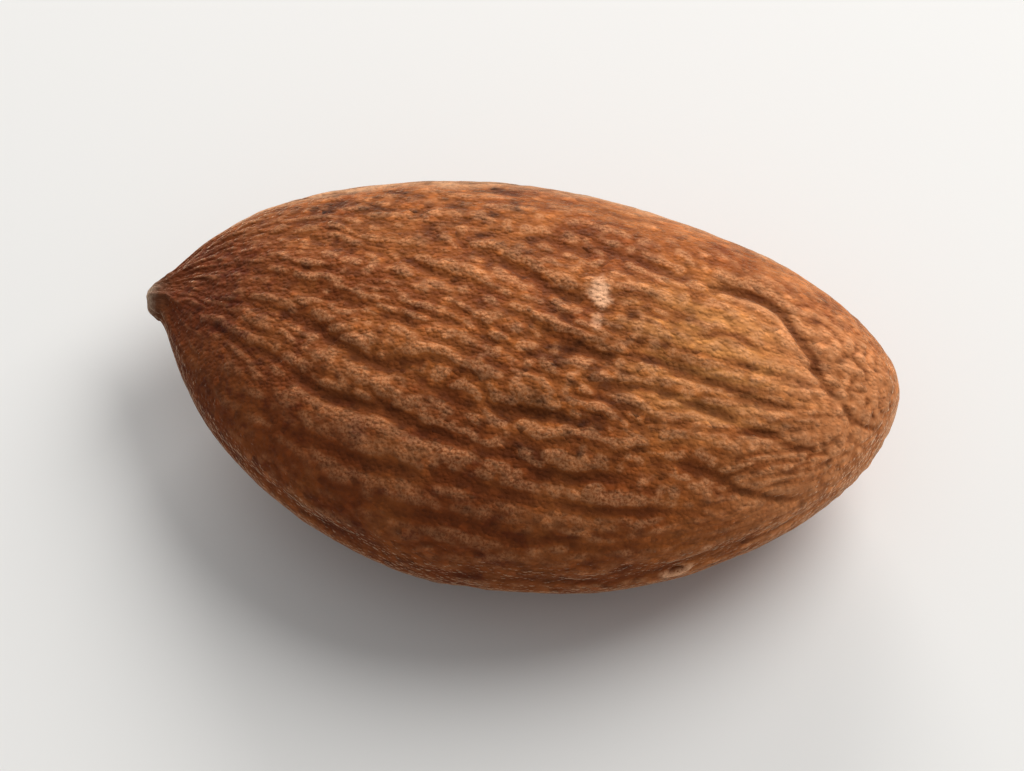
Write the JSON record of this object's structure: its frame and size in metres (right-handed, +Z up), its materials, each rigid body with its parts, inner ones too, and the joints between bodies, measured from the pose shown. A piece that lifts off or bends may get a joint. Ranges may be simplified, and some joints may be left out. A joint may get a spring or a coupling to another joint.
{
  "type": "almond",
  "caption": "Shelled almond kernel in its brown ribbed skin, a flattened drop with one pointed tip, lying on a broad face.",
  "frame": {"origin": "on the surface that the almond lies on, at the middle of its bounding box", "axes": "+X along the length from the pointed tip to the blunt end, +Y across the width to the straighter edge, +Z up through the thickness"},
  "size_m": [0.024, 0.0138, 0.0076],
  "materials": {
    "skin": "matte"
  },
  "bodies": {
    "root": {"almond": "skin"}
  },
  "joints": []
}
